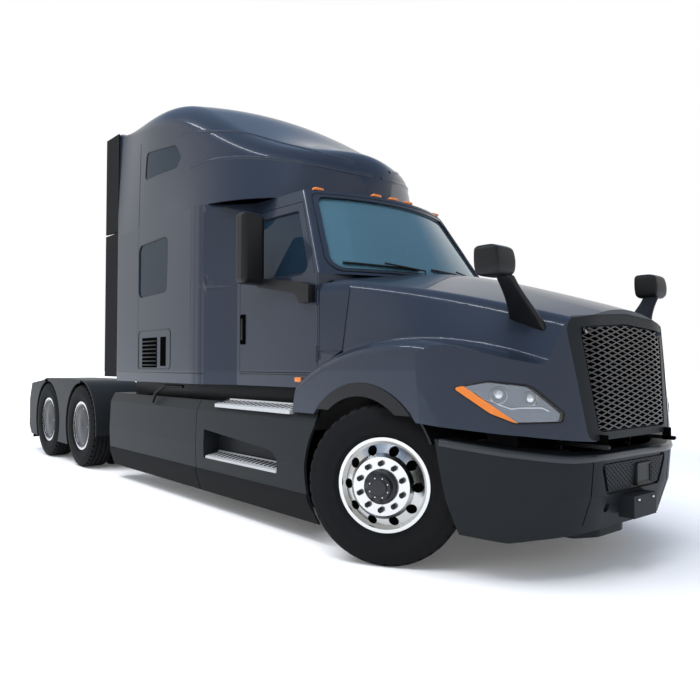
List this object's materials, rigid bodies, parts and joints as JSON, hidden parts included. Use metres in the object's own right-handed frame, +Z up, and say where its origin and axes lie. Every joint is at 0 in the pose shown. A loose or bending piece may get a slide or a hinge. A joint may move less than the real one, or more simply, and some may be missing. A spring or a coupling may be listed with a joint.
{
  "type": "semi truck tractor unit",
  "caption": "Long-nosed highway tractor unit with a high-roof sleeper cab, tilting hood, hinged doors, steered front wheels, twin drive wheels and a tilting coupling plate.",
  "frame": {"origin": "on the road under the middle of the length and width", "axes": "+X forward, +Y to the left, +Z up"},
  "size_m": [8.697, 2.7996, 3.9665],
  "materials": {
    "paint": "metallic gloss",
    "trim": "satin",
    "black": "satin",
    "frame": "semi gloss",
    "iron": "rough",
    "tyre": "matte",
    "alloy": "polished",
    "wheel_cover": "semi gloss",
    "glass": "gloss",
    "lamp_clear": "gloss",
    "lamp_amber": "gloss",
    "lamp_red": "gloss",
    "cloth": "woven",
    "cabin": "grained",
    "tank": "polished",
    "steel": "greased"
  },
  "bodies": {
    "chassis": {"frame_rails": "frame", "crossmembers": "frame", "front_axle": "frame", "front_springs": "frame", "engine": "iron", "gearbox": "iron", "driveshafts": "frame", "radiator": "frame", "drive_axles": "frame", "rear_suspension": "frame", "cab_shell": "paint", "windscreen": "glass", "sleeper_shell": "paint", "roof_fairing": "paint", "sleeper_windows": "glass", "roof_lamps": "lamp_amber", "dashboard": "cabin", "seats": "cloth", "bunk": "cloth", "bumper_middle": "trim", "bumper_ends": "trim", "bumper_grille": "black", "tank_fairings": "trim", "step_fairings": "trim", "steps": "alloy", "fuel_tanks": "tank", "side_extenders": "black", "drive_fenders": "trim", "coupling_base": "frame", "deck": "frame", "tail_lamps": "lamp_red"},
    "nose": {"hood": "paint", "grille": "trim", "headlamps": "lamp_clear", "arch_trim": "trim", "hood_mirrors": "black"},
    "left_door": {"door_left": "paint", "door_glass_left": "glass", "mirror_left": "black"},
    "right_door": {"door_right": "paint", "door_glass_right": "glass", "mirror_right": "black"},
    "left_knuckle": {"knuckle_left": "frame"},
    "right_knuckle": {"knuckle_right": "frame"},
    "steering_link": {"tie_rod": "frame"},
    "coupling": {"coupling_plate": "steel"},
    "left_front_wheel": {"front_tyre_left": "tyre", "front_wheel_left": "alloy"},
    "left_drive_wheel_1": {"drive_tyres_1_left": "tyre", "drive_wheel_1_left": "alloy"},
    "left_drive_wheel_2": {"drive_tyres_2_left": "tyre", "drive_wheel_2_left": "alloy"},
    "right_front_wheel": {"front_tyre_right": "tyre", "front_wheel_right": "alloy"},
    "right_drive_wheel_1": {"drive_tyres_1_right": "tyre", "drive_wheel_1_right": "alloy"},
    "right_drive_wheel_2": {"drive_tyres_2_right": "tyre", "drive_wheel_2_right": "alloy"}
  },
  "joints": [
    {"name": "nose_tilt", "type": "hinge", "parent": "chassis", "child": "nose", "pos_m": [4.3365, 0, 0.79], "axis": [0, 1, 0], "range_deg": [0, 70]},
    {"name": "left_door_swing", "type": "hinge", "parent": "chassis", "child": "left_door", "pos_m": [2.4345, 1.048, 1.55], "axis": [0, 0, -1], "range_deg": [0, 70]},
    {"name": "right_door_swing", "type": "hinge", "parent": "chassis", "child": "right_door", "pos_m": [2.4345, -1.048, 1.55], "axis": [0, 0, 1], "range_deg": [0, 70]},
    {"name": "left_steer", "type": "hinge", "parent": "chassis", "child": "left_knuckle", "pos_m": [3.0915, 0.89, 0.508], "axis": [0, 0, 1], "range_deg": [-70, 10]},
    {"name": "right_steer", "type": "hinge", "parent": "chassis", "child": "right_knuckle", "pos_m": [3.0915, -0.89, 0.508], "axis": [0, 0, 1], "range_deg": [-70, 10]},
    {"name": "link_turn", "type": "hinge", "parent": "left_knuckle", "child": "steering_link", "pos_m": [2.90963, 0.785, 0.345], "axis": [0, 0, 1], "range_deg": [-10, 70]},
    {"name": "coupling_tilt", "type": "hinge", "parent": "chassis", "child": "coupling", "pos_m": [-2.6885, 0, 1.085], "axis": [0, 1, 0], "range_deg": [-12, 12]},
    {"name": "left_front_spin", "type": "hinge", "parent": "left_knuckle", "child": "left_front_wheel", "pos_m": [3.0025, 1.04415, 0.508], "axis": [-0.5, 0.866, 0], "continuous": true},
    {"name": "left_drive_spin_1", "type": "hinge", "parent": "chassis", "child": "left_drive_wheel_1", "pos_m": [-2.1585, 0.9115, 0.508], "axis": [0, 1, 0], "continuous": true},
    {"name": "left_drive_spin_2", "type": "hinge", "parent": "chassis", "child": "left_drive_wheel_2", "pos_m": [-3.4795, 0.9115, 0.508], "axis": [0, 1, 0], "continuous": true},
    {"name": "right_front_spin", "type": "hinge", "parent": "right_knuckle", "child": "right_front_wheel", "pos_m": [3.1805, -1.04415, 0.508], "axis": [-0.5, 0.866, 0], "continuous": true},
    {"name": "right_drive_spin_1", "type": "hinge", "parent": "chassis", "child": "right_drive_wheel_1", "pos_m": [-2.1585, -0.9115, 0.508], "axis": [0, 1, 0], "continuous": true},
    {"name": "right_drive_spin_2", "type": "hinge", "parent": "chassis", "child": "right_drive_wheel_2", "pos_m": [-3.4795, -0.9115, 0.508], "axis": [0, 1, 0], "continuous": true}
  ],
  "couplings": [
    {"joint": "right_steer", "follows": "left_steer", "ratio": 1},
    {"joint": "link_turn", "follows": "left_steer", "ratio": -1}
  ]
}
